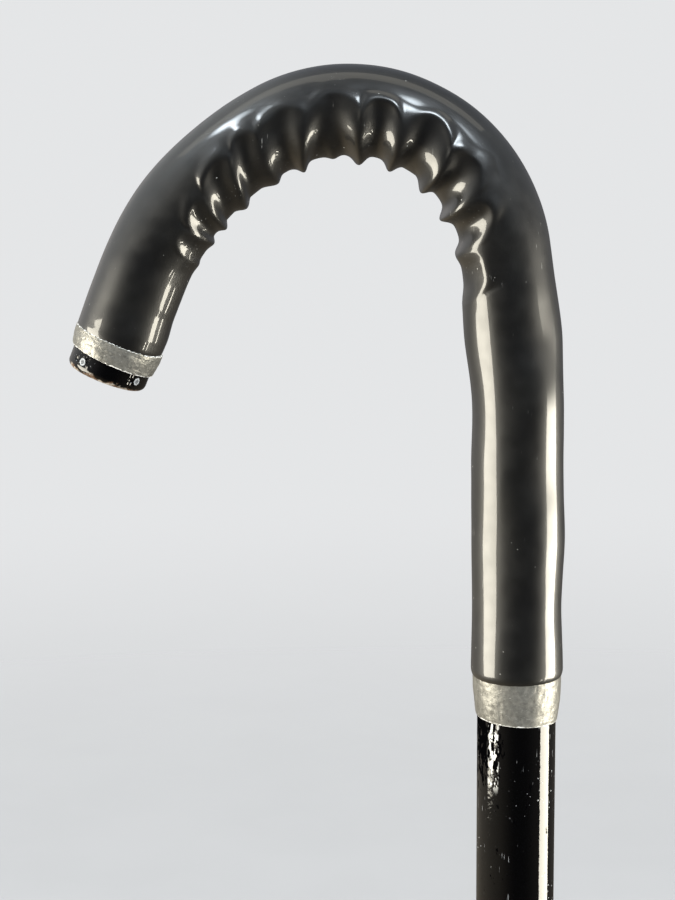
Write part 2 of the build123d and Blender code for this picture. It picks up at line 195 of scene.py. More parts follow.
def grid_mesh(name, points):
    """Closed ring-shaped mesh from rows of points; the last row joins the first."""
    rows, columns = points.shape[:2]
    index = np.arange(rows * columns).reshape(rows, columns)
    down = np.roll(index, -1, axis=0)
    faces = np.stack([index, np.roll(index, -1, 1), np.roll(down, -1, 1), down], -1)
    mesh = bpy.data.meshes.new(name)
    mesh.from_pydata(points.reshape(-1, 3).tolist(), [], faces.reshape(-1, 4).tolist())
    mesh.validate()
    mesh.shade_smooth()
    piece = bpy.data.objects.new(name, mesh)
    bpy.context.scene.collection.objects.link(piece)
    return piece


def point_value(piece, name, values):
    """Stores one number per vertex for the materials to read."""
    attribute = piece.data.attributes.new(name, "FLOAT", "POINT")
    attribute.data.foreach_set("value", np.asarray(values, np.float32).ravel())


# ---------------------------------------------------------------- vinyl grip sleeve

# Buckled folds along the inside of the bend, from the shaft side to the free end. Each ridge
# has its place in mm past the start of the top bend, how far its crest stands off the tube in
# mm, how far the crest leans along the tube per mm of height, and how far the ridge has
# drifted along the tube in mm by the time it has run a quarter of the way round, in front and
# behind.
RIDGES = (
    (-14.0, 1.6, 0.0, 6.0, 4.0),
    (-0.5, 2.2, 0.0, 7.5, 5.0),
    (14.0, 3.0, 0.10, 3.0, 4.0),
    (28.4, 2.9, -0.10, 3.0, -2.0),
    (43.2, 2.8, 0.05, 2.6, 3.0),
    (55.8, 2.9, 0.10, 1.8, -1.5),
    (77.6, 2.5, 0.10, -5.5, -3.0),
    (88.4, 1.8, 0.0, -3.0, 4.0),
    (100.6, 2.0, 0.0, -6.5, -2.0),
    (110.4, 2.0, 0.0, -5.5, -5.0),
    (116.6, 1.8, 0.0, -1.5, -4.0),
    (125.2, 1.65, 0.0, -3.0, -3.0),
    (143.0, 1.7, 0.0, 0.0, 0.0),
)
# Scoops between neighbouring ridges: how far round the tube each one reaches in front and
# behind in degrees, how much its rim arches, and its share of the depth.
SCOOPS = (
    (62, 60, 0.30, 0.55),
    (86, 92, 0.22, 1.0),
    (100, 100, 0.16, 1.0),
    (110, 96, 0.16, 1.0),
    (108, 108, 0.20, 1.0),
    (112, 98, 0.14, 1.0),
    (107, 100, 0.10, 1.0),
    (104, 92, 0.10, 1.0),
    (96, 84, 0.12, 1.0),
    (82, 78, 0.18, 0.85),
    (72, 66, 0.26, 0.50),
    (56, 60, 0.30, 0.05),
)
# Crest to half height as a share of the ridge spacing, shaft side and tip side: on the inner
# line, and what is added on the flank, where the ridges are rounder.
RIDGE_SHARE = ((0.14, 0.12), (0.21, 0.11))
WIDE_SCOOP = 13.0  # mm; in wider scoops the ridges don't widen any further
RIM_DROP = math.radians(36)  # how far round a scoop takes to fall from its rim to its floor
LIP_RISE = 0.36  # mm the rims stand above the plain sleeve, on average
FLANK_RISE = 0.9  # mm the crests stand higher on the flanks than the inner line gives
SMALL_BUMP = (66.0, 1.0, 2.6)  # place, height and half width in mm of the bump in the wide scoop
BUMP_ACROSS = 1.25  # rate of the bump's cosine round the tube, and about the radians it ends at
SKIN = 0.12  # mm the outside of a scoop's floor stands off the tube
SNUG = (121.0, 150.0, 0.85)  # past the folds: from, to, and mm the sleeve lies closer inside
SNUG_EASE = (9, 7)  # mm over which that comes and goes
CREST_REACH = math.radians(118)  # how far round the tube a crest takes to run out
CREST_USUAL = 1.9  # mm a usual crest stands above the plain sleeve
FLANK_FROM = 1.25  # radians round the tube from where a ridge has its flank width
FLANK_PEAK = (1.0, 0.4)  # radians round the tube where FLANK_RISE is at its full, and its spread
LIP_SPREAD = (0.05, 0.17)  # radians past a scoop's reach to its raised rim, and the rim's spread
DRIFT_END = 2.0  # radians round the tube past which a ridge drifts no further
ARCH_POWER, FALL_POWER, FLANK_POWER, CREST_POWER = 2.6, 2.2, 1.5, 0.6  # how sharply each curve turns
HALVING = 0.69  # exp(-HALVING) is about a half
LOOSE = (0.30, 0.50)  # mm of slow waviness everywhere, and added on the straight
LOOSE_EASE = (25 * MM, 20 * MM)  # over which the straight's waviness comes and goes
LOOSE_END = -8 * MM  # where it has gone
FINE = 0.05  # mm of finer waviness
FOLDS_FROM = -20 * MM  # rows are close together from here to the tip
ROW_STEP, FOLD_ROW_STEP = 0.9 * MM, 0.3 * MM
ROLL_LENGTH = 2.6 * MM  # of the rounding at the sleeve's ends
ROLLED_ENDS = ((SLEEVE_START, 11.9 * MM, 0.15), (SLEEVE_END, 11.7 * MM, -0.5))  # lip radius, mm bulge
BULGE_LENGTH = 9 * MM
BORE_INSET = 0.4 * MM  # from the sleeve's ends to the bore's
FOLD_BLUR, LEAN_BLUR = 1.1, 3.0  # in grid cells


def fold_relief(s, phi):
    """Standoff from the tube over the folded stretch and the lean of the crests along it,
    both in metres on a grid (rows s, columns phi)."""
    rows, columns = len(s), len(phi)
    wander = 0.6 * smooth_noise(rows, columns, (34, 9), 41)  # in mm along the tube
    twist = 0.05 * smooth_noise(rows, columns, (40, 7), 42)  # as a share of the angle
    s = (s / MM)[:, None] + wander
    phi = phi[None, :] * (1 + twist)
    turn = np.abs(phi)
    quarter = 1 - np.cos(np.minimum(turn, DRIFT_END))
    flank = np.clip(turn / FLANK_FROM, 0, 1) ** FLANK_POWER
    lines = [place + np.where(phi > 0, front, back) * quarter for place, _, _, front, back in RIDGES]
    plain = (SLEEVE_R - TUBE_R) / MM
    swell = np.cos(np.clip(turn / CREST_REACH, 0, 1) * math.pi / 2) ** CREST_POWER
    swell = swell + FLANK_RISE / CREST_USUAL * np.exp(-(((turn - FLANK_PEAK[0]) / FLANK_PEAK[1]) ** 2))
    crest, depth = np.full(s.shape, plain), np.zeros(s.shape)
    ragged = 1.1 * smooth_noise(rows, columns, (44, 9), 47)
    rim = LIP_RISE * np.clip(1 + ragged, 0.1, 1.9)
    lean = np.zeros(s.shape)
    shaft_side, tip_side = RIDGE_SHARE
    for k, (front, behind, arch, share) in enumerate(SCOOPS):
        low, high = lines[k], lines[k + 1]
        (_, low_tall, low_lean, _, _), (_, high_tall, high_lean, _, _) = RIDGES[k : k + 2]
        inside = (s >= low) & (s < high)
        t = np.clip((s - low) / (high - low), 0, 1)
        ease = t * t * (3 - 2 * t)
        tall = low_tall + (high_tall - low_tall) * ease
        reach = np.radians(np.where(phi > 0, front, behind)) * (1 - arch * np.abs(2 * t - 1) ** ARCH_POWER)
        fall = 1 - (1 - np.clip((reach - turn) / RIM_DROP, 0, 1)) ** FALL_POWER
        narrow = np.minimum(high - low, WIDE_SCOOP) / (high - low)
        near = (t / narrow / (tip_side[0] + tip_side[1] * flank)) ** 2
        far = ((1 - t) / narrow / (shaft_side[0] + shaft_side[1] * flank)) ** 2
        side = (1 - np.exp(-HALVING * near)) * (1 - np.exp(-HALVING * far))
        lip = rim * share * np.exp(-(((turn - reach - LIP_SPREAD[0]) / LIP_SPREAD[1]) ** 2))
        crest = np.where(inside, plain + (tall - plain) * swell + lip, crest)
        depth = np.where(inside, share * side * fall, depth)
        tilt = low_lean * low_tall * (1 - ease) + high_lean * high_tall * ease
        lean = np.where(inside, tilt, lean)
    standoff = crest + (SKIN - crest) * depth
    place, tall, wide = SMALL_BUMP
    bump = np.exp(-((s - place) / wide) ** 2)
    bump = bump * np.clip(np.cos(BUMP_ACROSS * phi), 0, 1) * (turn < BUMP_ACROSS)
    standoff = standoff + tall * bump
    first, last, tight = SNUG
    snug = np.clip((s - first) / SNUG_EASE[0], 0, 1) * np.clip((last - s) / SNUG_EASE[1], 0, 1)
    standoff = standoff - tight * snug**2 * (3 - 2 * snug) * (0.5 + 0.5 * np.cos(phi))
    return standoff * MM, lean * (1 - depth) ** 2 * swell**1.5 * MM


def uneven(s, phi, radius):
    """Adds the slow waviness of soft vinyl that has settled on the tube, loosest on the
    straight."""
    length = (s - s[0]) / (s[-1] - s[0])
    rows, columns = 400, len(phi)
    at = length * (rows - 1)
    low = np.clip(np.floor(at).astype(int), 0, rows - 2)
    share = (at - low)[:, None]
    fields = (smooth_noise(rows, columns, (14, 6), 3), smooth_noise(rows, columns, (34, 9), 5))
    slow, fine = (field[low] * (1 - share) + field[low + 1] * share for field in fields)
    loose = np.clip((s - SLEEVE_START) / LOOSE_EASE[0], 0, 1) * np.clip((LOOSE_END - s) / LOOSE_EASE[1], 0, 1)
    loose = LOOSE[0] + LOOSE[1] * (loose**2 * (3 - 2 * loose))[:, None]
    return radius + (loose * slow + FINE * fine) * MM


def sleeve_rows():
    """Arc lengths of the outer rows: fine over the folds, and closer at the rolled ends."""
    lip = ROLL_LENGTH * (1 - np.cos(np.linspace(0, math.pi / 2, 12)))
    start = SLEEVE_START + lip
    end = SLEEVE_END - lip[::-1]
    straight = np.arange(start[-1] + ROW_STEP, FOLDS_FROM, ROW_STEP)
    folds = np.arange(FOLDS_FROM, end[0] - FOLD_ROW_STEP, FOLD_ROW_STEP)
    return np.concatenate([start, straight, folds, end])


def rolled_ends(s, radius):
    """Rounds the radius down to a soft lip at both ends, after a slight bulge or waist."""
    for place, lip_r, bulge in ROLLED_ENDS:
        gap = np.abs(s - place)[:, None]
        round_off = np.sqrt(np.clip(1 - (1 - np.clip(gap / ROLL_LENGTH, 0, 1)) ** 2, 0, 1))
        radius = radius + bulge * MM * np.exp(-((gap / BULGE_LENGTH) ** 2))
        radius = lip_r + (radius - lip_r) * round_off
    return radius


def grip_sleeve():
    """Vinyl sleeve as one closed skin: folded outside, plain bore on the tube."""
    columns = 288
    phi = np.linspace(-math.pi, math.pi, columns, endpoint=False)
    s = sleeve_rows()
    standoff, lean = fold_relief(s, phi)
    radius = uneven(s, phi, blur(TUBE_R + standoff, FOLD_BLUR, FOLD_BLUR))
    radius = np.maximum(radius, TUBE_R + SKIN * MM)
    outer = around(s, phi, rolled_ends(s, radius), blur(lean, LEAN_BLUR, LEAN_BLUR))
    bore_s = np.linspace(SLEEVE_END - BORE_INSET, SLEEVE_START + BORE_INSET, 90)
    bore = around(bore_s, phi, GRIP_BORE_R)
    piece = grid_mesh("vinyl_sleeve", np.concatenate([outer, bore]))
    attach(piece, "handle")
    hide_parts("grip_sleeve")
    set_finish(piece, "vinyl_grip")
    return piece


# ---------------------------------------------------------------- tape bands


TAPE_SWELL = 0.25 * MM  # how much fuller a band is in its middle
CREASE_HEIGHT = 0.14  # mm
TAPE_EDGE = 0.25  # mm over which the tape comes down to its edge
TAPE_EDGE_SHARE = (0.55, 0.45)  # of the radius over the tube, kept at the edge and gained inside


def torn_edge(phi, place, tear, tilt, seed):
    """Arc length of a torn tape edge at the angles phi."""
    ragged = 0.6 * waves(phi, range(11, 90, 6), seed) + 0.4 * waves(phi, (2, 3, 5), seed + 7)
    return place + (tear * ragged + tilt * np.cos(phi)) * MM


def tape_band(name, node, ends, radii, tear, tilt, seed):
    """Crinkled tape wrapped round the tube between two arc lengths. Each end has its radius,
    how far its edge is torn in mm, and its tilt in mm from the inner to the outer side."""
    rows, columns = 64, 360
    phi = np.linspace(-math.pi, math.pi, columns, endpoint=False)
    low, high = (torn_edge(phi, ends[k], tear[k], tilt[k], seed + k) for k in (0, 1))
    share = 0.5 - 0.5 * np.cos(np.linspace(0, math.pi, rows))[:, None]
    s = low + (high - low) * share
    crease = np.abs(smooth_noise(rows, columns, (5, 26), seed + 20)) ** 0.7
    crease += 0.6 * np.abs(smooth_noise(rows, columns, (11, 60), seed + 21))
    edge = np.minimum(s - low, high - s) / MM
    lift = np.clip(edge / TAPE_EDGE, 0, 1) ** 0.5
    plain = radii[0] + (radii[1] - radii[0]) * share + TAPE_SWELL * np.sin(math.pi * share)
    radius = plain + CREASE_HEIGHT * (crease - 0.6) * MM * lift
    radius = GRIP_BORE_R + (radius - GRIP_BORE_R) * (TAPE_EDGE_SHARE[0] + TAPE_EDGE_SHARE[1] * lift)
    middle = sum(ends) / 2
    points, tangent, inward = (a[0] for a in crook_frames(middle))
    radial = np.cos(phi)[:, None] * inward + np.sin(phi)[:, None] * FRONT
    outer = points + (s - middle)[..., None] * tangent + radius[..., None] * radial
    inner = points + (s[::-1] - middle)[..., None] * tangent + GRIP_BORE_R * radial
    piece = grid_mesh(name, np.concatenate([outer, inner]))
    point_value(piece, "edge", np.concatenate([edge, edge * 0]))
    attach(piece, "handle")
    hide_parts(node)
    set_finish(piece, "silver_tape")
    return piece


def tape_bands():
    """The lower band starts under the sleeve's lip, and the end band laps over it."""
    tucked, lapped = 1.5 * MM, 1.2 * MM
    sleeve_side_r, lower_r, tip_r = 12.5 * MM, 11.4 * MM, 11.7 * MM
    tape_band(
        "tape_band_lower",
        "grip_band_lower",
        ends=(SLEEVE_START - LOWER_BAND_HEIGHT, SLEEVE_START + tucked),
        radii=(lower_r, sleeve_side_r),
        tear=(0.05, 0.22),
        tilt=(0.75, 0.5),
        seed=11,
    )
    tape_band(
        "tape_band_end",
        "grip_band_end",
        ends=(SLEEVE_END - lapped, SLEEVE_END + END_BAND_HEIGHT),
        radii=(sleeve_side_r, tip_r),
        tear=(0.22, 0.08),
        tilt=(0.2, 0.6),
        seed=31,
    )


# ---------------------------------------------------------------- button spring


def button_spring():
    """Folded strip in one fixed shape; the real spring flattens towards the far wall of the
    shaft as the button goes in. It has a free leg, a round fold at the bottom, and a leg that
    stands upright above its knee, where the button sits."""
    low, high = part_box("button_spring")
    thick, bend_r, bend_x = 0.6 * MM, 2.3 * MM, -0.7 * MM
    fold = low.z + thick / 2 + bend_r
    contact = high.x - thick / 2
    knee, knee_reach = high.z - 13 * MM, 2.5 * MM
    free_top_x, free_low_x, free_low = -7.35 * MM, -6.2 * MM, high.z - 10 * MM
    fold_steps, knee_steps = 15, 7
    path = [(free_top_x, high.z), (free_low_x, free_low)]
    for turn in np.linspace(math.pi, TAU, fold_steps):
        path.append((bend_x + bend_r * math.cos(turn), fold + bend_r * math.sin(turn)))
    below = Vector((bend_x + bend_r - contact, fold - knee)).normalized() * knee_reach
    for t in np.linspace(0, 1, knee_steps):
        rest = (1 - t) ** 2
        path.append((contact + below.x * rest, knee + below.y * rest + knee_reach * t**2))
    path.append((contact, high.z))
    path = np.array(path)
    along = np.gradient(path, axis=0)
    along /= np.linalg.norm(along, axis=1)[:, None]
    side = np.stack([-along[:, 1], along[:, 0]], 1) * thick / 2
    points, faces = [], []
    for (x, z), (dx, dz) in zip(path, side):
        points += [
            (x + dx, low.y, z + dz),
            (x - dx, low.y, z - dz),
            (x - dx, high.y, z - dz),
            (x + dx, high.y, z + dz),
        ]
    for row in range(len(path) - 1):
        for j in range(4):
            k = (j + 1) % 4
            faces.append((row * 4 + j, row * 4 + k, row * 4 + 4 + k, row * 4 + 4 + j))
    last = len(points)
    faces += [(3, 2, 1, 0), (last - 4, last - 3, last - 2, last - 1)]
    mesh = bpy.data.meshes.new("strip_spring")
    mesh.from_pydata(points, [], faces)
    piece = bpy.data.objects.new("strip_spring", mesh)
    bpy.context.scene.collection.objects.link(piece)
    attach(piece, "shaft")
    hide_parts("button_spring")
    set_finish(piece, "spring_steel")
    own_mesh(piece)
    return piece


grip_sleeve()
tape_bands()
button_spring()


# ---------------------------------------------------------------- materials


MIX_A, MIX_B, MIX_RESULT = 6, 7, 2  # the colour sockets of Blender's Mix node


class Shader:
    """Short names for building one node material round a Principled surface. Noise runs from
    about 0.3 to 0.7, and scales are in cells per metre."""

    def __init__(self, name, **inputs):
        self.material = bpy.data.materials.new(name)
        self.material.use_nodes = True
        self.tree = self.material.node_tree
        self.surface = self.tree.nodes["Principled BSDF"]
        self.place = self.node("ShaderNodeTexCoord").outputs["Object"]
        for key, value in inputs.items():
            self.surface.inputs[key.replace("_", " ")].default_value = value

    def node(self, kind, **settings):
        """New node with its settings."""
        made = self.tree.nodes.new(kind)
        for key, value in settings.items():
            setattr(made, key, value)
        return made

    def link(self, source, target):
        self.tree.links.new(source, target)

    def feed(self, socket, value):
        """Links another node's output to a socket, or sets a plain value."""
        if isinstance(value, bpy.types.NodeSocket):
            self.link(value, socket)
        else:
            socket.default_value = value

    def stretched(self, scale):
        """The place scaled differently on each axis, for marks that run along one of them."""
        mapping = self.node("ShaderNodeMapping")
        mapping.inputs["Scale"].default_value = scale
        self.link(self.place, mapping.inputs["Vector"])
        return mapping.outputs["Vector"]

    def noise(self, scale, detail=3.0, vector=None, roughness=0.5):
        made = self.node("ShaderNodeTexNoise")
        self.link(vector or self.place, made.inputs["Vector"])
        for key, value in (("Scale", scale), ("Detail", detail), ("Roughness", roughness)):
            made.inputs[key].default_value = value
        return made.outputs["Fac"]

    def cells(self, scale):
        """Distance to the nearest scattered point, and a random colour for its cell."""
        made = self.node("ShaderNodeTexVoronoi")
        self.link(self.place, made.inputs["Vector"])
        made.inputs["Scale"].default_value = scale
        return made.outputs["Distance"], made.outputs["Color"]

    def span(self, value, low, high, out_low=0.0, out_high=1.0):
        """Smooth step of a value from low to high, either way round."""
        made = self.node("ShaderNodeMapRange")
        made.interpolation_type = "SMOOTHSTEP"
        self.feed(made.inputs["Value"], value)
        for key, number in (("From Min", low), ("From Max", high), ("To Min", out_low),
                            ("To Max", out_high)):
            made.inputs[key].default_value = number
        return made.outputs["Result"]

    def math(self, operation, a, b=0.0):
        made = self.node("ShaderNodeMath", operation=operation)
        self.feed(made.inputs[0], a)
        self.feed(made.inputs[1], b)
        return made.outputs[0]

    def mix(self, factor, a, b):
        made = self.node("ShaderNodeMix", data_type="RGBA")
        self.feed(made.inputs["Factor"], factor)
        for socket, color in ((MIX_A, a), (MIX_B, b)):
            self.feed(made.inputs[socket], color if isinstance(color, bpy.types.NodeSocket) else (*color, 1))
        return made.outputs[MIX_RESULT]

    def value(self, name):
        """A number stored on the mesh by point_value."""
        return self.node("ShaderNodeAttribute", attribute_name=name).outputs["Fac"]

    def bump(self, height, distance, strength, under=None):
        """Normal from a height map, laid over another normal if there is one."""
        made = self.node("ShaderNodeBump")
        made.inputs["Distance"].default_value = distance
        made.inputs["Strength"].default_value = strength
        self.link(height, made.inputs["Height"])
        if under:
            self.link(under, made.inputs["Normal"])
        return made.outputs["Normal"]

    def finish(self, color, roughness, normal=None, metallic=None):
        """Feeds the surface and gives back the material."""
        for key, source in (("Base Color", color), ("Roughness", roughness), ("Normal", normal),
                            ("Metallic", metallic)):
            if source is not None:
                self.feed(self.surface.inputs[key], source)
        return self.material

    def hair_scratches(self, stretch, fine, patches):
        """Thin marks along Z: a stretched noise over the span fine, inside patches, which are
        given as a scale and a span."""
        field = self.noise(1.0, 2, self.stretched(stretch))
        return self.math("MULTIPLY", self.span(field, *fine), self.span(self.noise(patches[0]), *patches[1:]))


def vinyl():
    """Soft black vinyl: a glossy skin over a satin body, with dust specks and hair scratches."""
    m = Shader("vinyl", Specular_IOR_Level=0.5, Coat_Weight=0.8, Coat_Roughness=0.045)
    black, faded, dust_grey = (0.003, 0.003, 0.0034), (0.0055, 0.0054, 0.0052), (0.42, 0.42, 0.40)
    satin = (0.36, 0.46)
    pore_depth = 0.02 * MM
    color = m.mix(m.span(m.noise(60, 4), 0.3, 0.7), black, faded)
    distance, tint = m.cells(420)
    dust = m.math("MULTIPLY", m.span(distance, 0.09, 0.05), m.span(tint, 0.80, 0.84))
    scratch = m.hair_scratches((2600, 2600, 160), (0.70, 0.74), (90, 0.56, 0.64))
    marks = m.math("MAXIMUM", dust, m.math("MULTIPLY", scratch, 0.45))
    color = m.mix(marks, color, dust_grey)
    roughness = m.span(m.noise(220, 5), 0.3, 0.75, *satin)
    normal = m.bump(m.noise(2400, 3), pore_depth, 0.35)
    return m.finish(color, roughness, normal)


def tape():
    """Silver-grey crinkled tape with painted highlights: pale streaks for the glints on its
    crinkles, and a pale torn edge that is partly a painted glint.
    """
    m = Shader("tape")
    dull, silver = (0.15, 0.146, 0.130), (0.29, 0.283, 0.255)
    # pale colours: a painted highlight for the crinkle glints, and the torn edge, which is partly a painted
    # glint along it
    crinkle_glint, torn = (0.60, 0.59, 0.55), (0.80, 0.79, 0.75)
    torn_glint_from, torn_glint_full = 0.30, 0.10  # mm from the edge
    wrinkle_depth, fold_depth = 0.10 * MM, 0.3 * MM
    tone = m.noise(700, 8, roughness=0.8)
    color = m.mix(m.span(tone, 0.30, 0.72), dull, silver)
    # painted highlight: pale streaks where the crinkles catch the light
    crinkle_glints = m.span(m.noise(1.0, 5, m.stretched((900, 900, 2400)), roughness=0.7), 0.60, 0.72)
    color = m.mix(crinkle_glints, color, crinkle_glint)
    # pale torn edge: partly the tape's own edge, partly a painted highlight of the light caught along it
    ragged = m.math("ADD", m.value("edge"), m.span(m.noise(1100, 4), 0.3, 0.7, -0.2, 0.2))
    rim = m.span(ragged, torn_glint_from, torn_glint_full)
    color = m.mix(rim, color, torn)
    roughness = m.span(tone, 0.3, 0.7, 0.26, 0.44)
    metallic = m.span(rim, 0.0, 1.0, 0.5, 0.0)
    normal = m.bump(m.noise(1300, 6, roughness=0.75), wrinkle_depth, 0.8)
    normal = m.bump(m.noise(260, 3), fold_depth, 0.5, normal)
    return m.finish(color, roughness, normal, metallic)


def gloss_paint(name, base, chipped, polish):
    """Deep gloss paint with chips, hair scratches and a faint orange peel; the higher chipped
    is, up to 0.8, the fewer chips there are. polish is the range of its roughness."""
    primer = (0.30, 0.31, 0.32)
    peel_depth = 0.04 * MM
    m = Shader(name, Specular_IOR_Level=0.5)
    distance, tint = m.cells(950)
    clump = m.span(m.noise(75, 3), chipped, chipped + 0.10)
    size = m.span(m.noise(400, 1), 0.35, 0.65, 0.05, 0.30)
    chips = m.span(m.math("SUBTRACT", size, distance), 0.0, 0.08)
    chips = m.math("MULTIPLY", m.math("MULTIPLY", chips, m.span(tint, 0.58, 0.62)), clump)
    scratch = m.hair_scratches((3200, 3200, 260), (0.68, 0.72), (70, 0.54, 0.60))
    marks = m.math("MAXIMUM", chips, m.math("MULTIPLY", scratch, 0.6))
    color = m.mix(marks, base, primer)
    roughness = m.math("ADD", m.span(m.noise(120, 4), 0.4, 0.8, *polish), m.math("MULTIPLY", marks, 0.4))
    normal = m.bump(m.noise(700, 3), peel_depth, 0.5)
    return m, color, roughness, normal


def tape_glue(m, color, roughness):
    """Glue left on the paint under the lower band, towards the inside of the crook: it takes
    the gloss off in patches, and along one line its pale bits are a painted highlight of
    the light glinting on the glue's relief."""
    thins_out, full, laps = 24 * MM, 8 * MM, 2 * MM  # below the band's edge, and up under it
    inner_side = (-3 * MM, -6.5 * MM)
    line_from, line_to = (-5.4 * MM, -6.2 * MM), (-8.8 * MM, -7.8 * MM)
    # pale is the colour of the painted highlight on the glue
    pale = (0.85, 0.84, 0.80)
    split = m.node("ShaderNodeSeparateXYZ")
    m.link(m.place, split.inputs[0])
    x, z = split.outputs["X"], split.outputs["Z"]
    band_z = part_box("grip_band_lower")[0].z
    below = m.math("MULTIPLY", m.span(z, band_z - thins_out, band_z - full), m.span(z, band_z + laps, band_z))
    zone = m.math("MULTIPLY", below, m.span(x, *inner_side))
    glue = m.noise(1.0, 4, m.stretched((700, 700, 330)), roughness=0.6)
    glue = m.span(m.math("ADD", glue, m.math("MULTIPLY", zone, 0.25)), 0.66, 0.675)
    m.feed(m.surface.inputs["Specular IOR Level"], m.span(glue, 0.0, 1.0, 0.5, 0.0))
    # painted highlight: pale glints on the glue's relief along one line
    line = m.math("MULTIPLY", m.span(x, *line_from), m.span(x, *line_to))
    crumb_glints = m.span(m.noise(1.0, 4, m.stretched((1000, 1000, 400)), roughness=0.6), 0.52, 0.56)
    crumb_glints = m.math("MULTIPLY", m.math("MULTIPLY", crumb_glints, line), m.span(zone, 0.1, 0.5))
    return m.mix(crumb_glints, color, pale), m.math("MAXIMUM", roughness, m.math("MULTIPLY", crumb_glints, 0.35))


def stake_glint_rings(m, color, roughness, rim, tangent, inward):
    """Pale rings in the four stake dimples, duller in their middles: partly uncovered metal,
    partly a painted highlight of the ring of light each dimple catches.
    """
    spot_r, middle_r = (1.1 * MM, 0.9 * MM), (0.5 * MM, 0.7 * MM)
    # the pale ring colour is partly metal and partly a painted highlight
    ragged, bare_and_glint = 0.1 * MM, (0.30, 0.32, 0.34)
    for index in range(4):
        angle = DIMPLE_FIRST_ANGLE + index * math.pi / 2
        outward = math.cos(angle) * FRONT + math.sin(angle) * inward
        gap = m.node("ShaderNodeVectorMath", operation="DISTANCE")
        m.link(m.place, gap.inputs[0])
        gap.inputs[1].default_value = rim - DIMPLE_FROM_RIM * tangent + TUBE_R * outward
        gap = m.math("ADD", gap.outputs["Value"], m.span(m.noise(1500, 2), 0.3, 0.7, -ragged, ragged))
        # painted highlight: a ring in each dimple, darker in its middle
        ring_glint = m.math("MULTIPLY", m.span(gap, *spot_r), m.span(gap, *middle_r, 0.35, 1.0))
        color = m.mix(ring_glint, color, bare_and_glint)
        roughness = m.math("MAXIMUM", roughness, m.math("MULTIPLY", ring_glint, 0.35))
    return color, roughness


def chafed_rim_and_glint(m, color, roughness, rim, tangent):
    """Paint rubbed through to rust and uncovered metal round the rim of the free end; its brown
    line and pale bits are also a painted reflection and painted glints of the rim.
    """
    chafed, ragged = (-1.2 * MM, -0.4 * MM), 0.7 * MM
    # colours of the rim: partly real wear, partly a painted reflection and painted glints
    rust, bare_and_glint = (0.10, 0.055, 0.03), (0.35, 0.31, 0.26)
    split = m.node("ShaderNodeSeparateXYZ")
    m.link(m.place, split.inputs[0])
    free_end = m.span(split.outputs["X"], -60 * MM, -70 * MM)
    along = m.node("ShaderNodeVectorMath", operation="DOT_PRODUCT")
    m.link(m.place, along.inputs[0])
    along.inputs[1].default_value = tangent
    along = m.math("SUBTRACT", along.outputs["Value"], float(rim @ tangent))
    along = m.math("ADD", along, m.span(m.noise(420, 4), 0.3, 0.7, -ragged, ragged))
    # worn rim mask: partly wear, partly painted reflection round the rim
    worn = m.math("MULTIPLY", m.span(along, *chafed), free_end)
    wear = m.mix(m.span(m.noise(700, 3), 0.45, 0.6), rust, bare_and_glint)
    return m.mix(worn, color, wear), m.math("MAXIMUM", roughness, m.math("MULTIPLY", worn, 0.4))


def handle_paint():
    """The gloss paint of the handle tube with what wears it, and the painted highlights on it."""
    m, color, roughness, normal = gloss_paint("gloss_black", (0.0010, 0.0010, 0.0012), 0.53, (0.03, 0.07))
    color, roughness = tape_glue(m, color, roughness)
    rim, tangent, inward = (a[0] for a in crook_frames(TIP_END))
    color, roughness = stake_glint_rings(m, color, roughness, rim, tangent, inward)
    color, roughness = chafed_rim_and_glint(m, color, roughness, rim, tangent)
    return m.finish(color, roughness, normal)


def plain_paint(name, base):
    """Painted steel without the handle's wear, and less polished."""
    m, color, roughness, normal = gloss_paint(name, base, 0.58, (0.09, 0.18))
    return m.finish(color, roughness, normal)


def plastic(name, base, light, rough):
    """Moulded plastic with a fine grain and slightly lighter worn patches."""
    m = Shader(name)
    grain_depth = 0.04 * MM
    color = m.mix(m.span(m.noise(90, 5), 0.35, 0.72), base, light)
    roughness = m.span(m.noise(400, 4), 0.3, 0.7, *rough)
    normal = m.bump(m.noise(1800, 2), grain_depth, 0.45)
    return m.finish(color, roughness, normal)


def metal(name, base, dark):
    """Bare or plated metal with fine draw marks and dull patches."""
    m = Shader(name, Metallic=1.0)
    mark_depth = 0.02 * MM
    color = m.mix(m.span(m.noise(300, 5), 0.35, 0.7), base, dark)
    roughness = m.span(m.noise(160, 5), 0.3, 0.7, 0.18, 0.38)
    normal = m.bump(m.noise(1.0, 3, m.stretched((2600, 2600, 300))), mark_depth, 0.5)
    return m.finish(color, roughness, normal)


def rubber():
    """Matt moulded rubber, greyed with dust towards the sole."""
    m = Shader("rubber", Specular_IOR_Level=0.35)
    black, grey, dust = (0.023, 0.023, 0.024), (0.037, 0.0365, 0.036), (0.16, 0.145, 0.125)
    dust_top, uneven_by = 9 * MM, 4 * MM
    grain_depth = 0.08 * MM
    split = m.node("ShaderNodeSeparateXYZ")
    m.link(m.place, split.inputs[0])
    height = m.math("ADD", split.outputs["Z"], m.span(m.noise(180, 5), 0.2, 0.8, -uneven_by, uneven_by))
    color = m.mix(m.span(m.noise(700, 5), 0.3, 0.75), black, grey)
    color = m.mix(m.math("MULTIPLY", m.span(height, dust_top, 0.0), 0.6), color, dust)
    roughness = m.span(m.noise(300, 4), 0.3, 0.7, 0.55, 0.75)
    normal = m.bump(m.noise(1300, 4), grain_depth, 0.5)
    return m.finish(color, roughness, normal)


